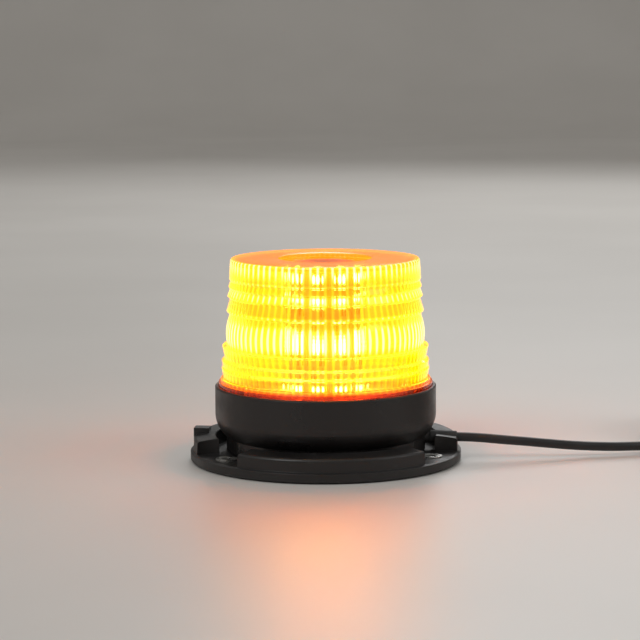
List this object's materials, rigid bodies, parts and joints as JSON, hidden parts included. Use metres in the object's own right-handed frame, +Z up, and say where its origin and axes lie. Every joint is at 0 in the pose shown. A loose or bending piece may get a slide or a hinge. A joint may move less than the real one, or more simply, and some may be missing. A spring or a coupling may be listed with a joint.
{
  "type": "led warning beacon",
  "caption": "Round amber LED warning beacon: fluted prism lens on a black housing, magnetic foot with screw holes, and a coiled lead ending in a vehicle-socket plug.",
  "frame": {"origin": "centre of the rubber pad's lower face, on the surface that the beacon stands on", "axes": "+Z up along the lens axis; the lead leaves towards +X; -Y is the side between the two front mounting holes"},
  "size_m": [0.3442, 0.1632, 0.097],
  "materials": {
    "amber_lens": "clear amber polycarbonate with prisms and flutes",
    "gasket": "matt silicone",
    "black_plastic": "fine-grained black ABS",
    "foot_plastic": "black ABS, slightly worn",
    "pad_rubber": "matt rubber",
    "zinc_steel": "zinc-plated steel",
    "magnet_nickel": "nickel-plated magnet",
    "white_reflector": "white glossy plastic",
    "heat_sink": "extruded aluminium",
    "strip_board": "white solder mask",
    "led_body": "white emitter package",
    "led_phosphor": "glowing amber silicone",
    "green_board": "green solder mask",
    "brass": "turned brass",
    "component_black": "moulded epoxy",
    "capacitor_sleeve": "printed sleeve",
    "copper_winding": "enamelled copper wire",
    "connector_ivory": "nylon",
    "wire_red": "PVC insulation",
    "wire_black": "PVC insulation",
    "cord_jacket": "satin PVC jacket",
    "tie_strap": "hook-and-loop strap",
    "plug_plastic": "black ABS with fine grain",
    "nickel": "nickel-plated brass",
    "fuse_glass": "glass tube with plated caps",
    "button_red": "satin moulded plastic",
    "button_grey": "satin moulded plastic",
    "indicator_red": "clear red plastic"
  },
  "bodies": {
    "root": {"lens_dome": "amber_lens", "lens_gasket": "gasket", "housing": "black_plastic", "foot_flange": "foot_plastic", "rubber_pad": "pad_rubber", "magnet_cups": "zinc_steel", "magnets": "magnet_nickel", "mount_eyelets": "zinc_steel", "base_screws": "zinc_steel", "lens_screws": "zinc_steel", "reflector_shelf": "white_reflector", "led_tower": "heat_sink", "tower_screws": "zinc_steel", "led_boards": "strip_board", "board_screws": "zinc_steel", "led_packages": "led_body", "led_domes": "led_phosphor", "chip_resistors": "component_black", "tower_cap": "component_black", "driver_board": "green_board", "board_standoffs": "brass", "driver_screws": "zinc_steel", "capacitors": "capacitor_sleeve", "inductor": "copper_winding", "driver_chips": "component_black", "tower_connector": "connector_ivory", "lead_red": "wire_red", "lead_black": "wire_black", "tower_lead_red": "wire_red", "tower_lead_black": "wire_black", "cable_boot": "gasket", "cable_clamp": "black_plastic", "clamp_screws": "zinc_steel", "power_cord": "cord_jacket", "cord_coil": "cord_jacket", "coil_tie": "tie_strap", "plug_lead": "cord_jacket", "plug_relief": "cord_jacket", "plug_grip_upper": "plug_plastic", "plug_grip_lower": "plug_plastic", "plug_barrel": "plug_plastic", "plug_nose_cap": "nickel", "plug_board": "green_board", "tact_switches": "component_black", "tip_spring": "nickel", "plug_screws": "zinc_steel", "plug_indicator": "indicator_red"},
    "power_button": {"power_button": "button_red"},
    "mode_button": {"mode_button": "button_grey"},
    "tip": {"tip_contact": "nickel", "plug_fuse": "fuse_glass"},
    "side_left": {"side_contact_left": "nickel"},
    "side_right": {"side_contact_right": "nickel"}
  },
  "joints": [
    {"name": "power_button_press", "type": "slide", "parent": "root", "child": "power_button", "axis": [0, 0, -1], "range_m": [0, 0.0012], "stiffness_N_per_m": 400, "springref_m": -0.001},
    {"name": "mode_button_press", "type": "slide", "parent": "root", "child": "mode_button", "axis": [0, 0, -1], "range_m": [0, 0.0012], "stiffness_N_per_m": 400, "springref_m": -0.001},
    {"name": "tip_press", "type": "slide", "parent": "root", "child": "tip", "axis": [1, 0, 0], "range_m": [0, 0.0035], "stiffness_N_per_m": 600, "springref_m": -0.002, "deforming": ["tip_spring"]},
    {"name": "side_left_press", "type": "slide", "parent": "root", "child": "side_left", "axis": [0, 1, 0], "range_m": [0, 0.0014], "stiffness_N_per_m": 500, "springref_m": -0.001},
    {"name": "side_right_press", "type": "slide", "parent": "root", "child": "side_right", "axis": [0, -1, 0], "range_m": [0, 0.0014], "stiffness_N_per_m": 500, "springref_m": -0.001}
  ]
}
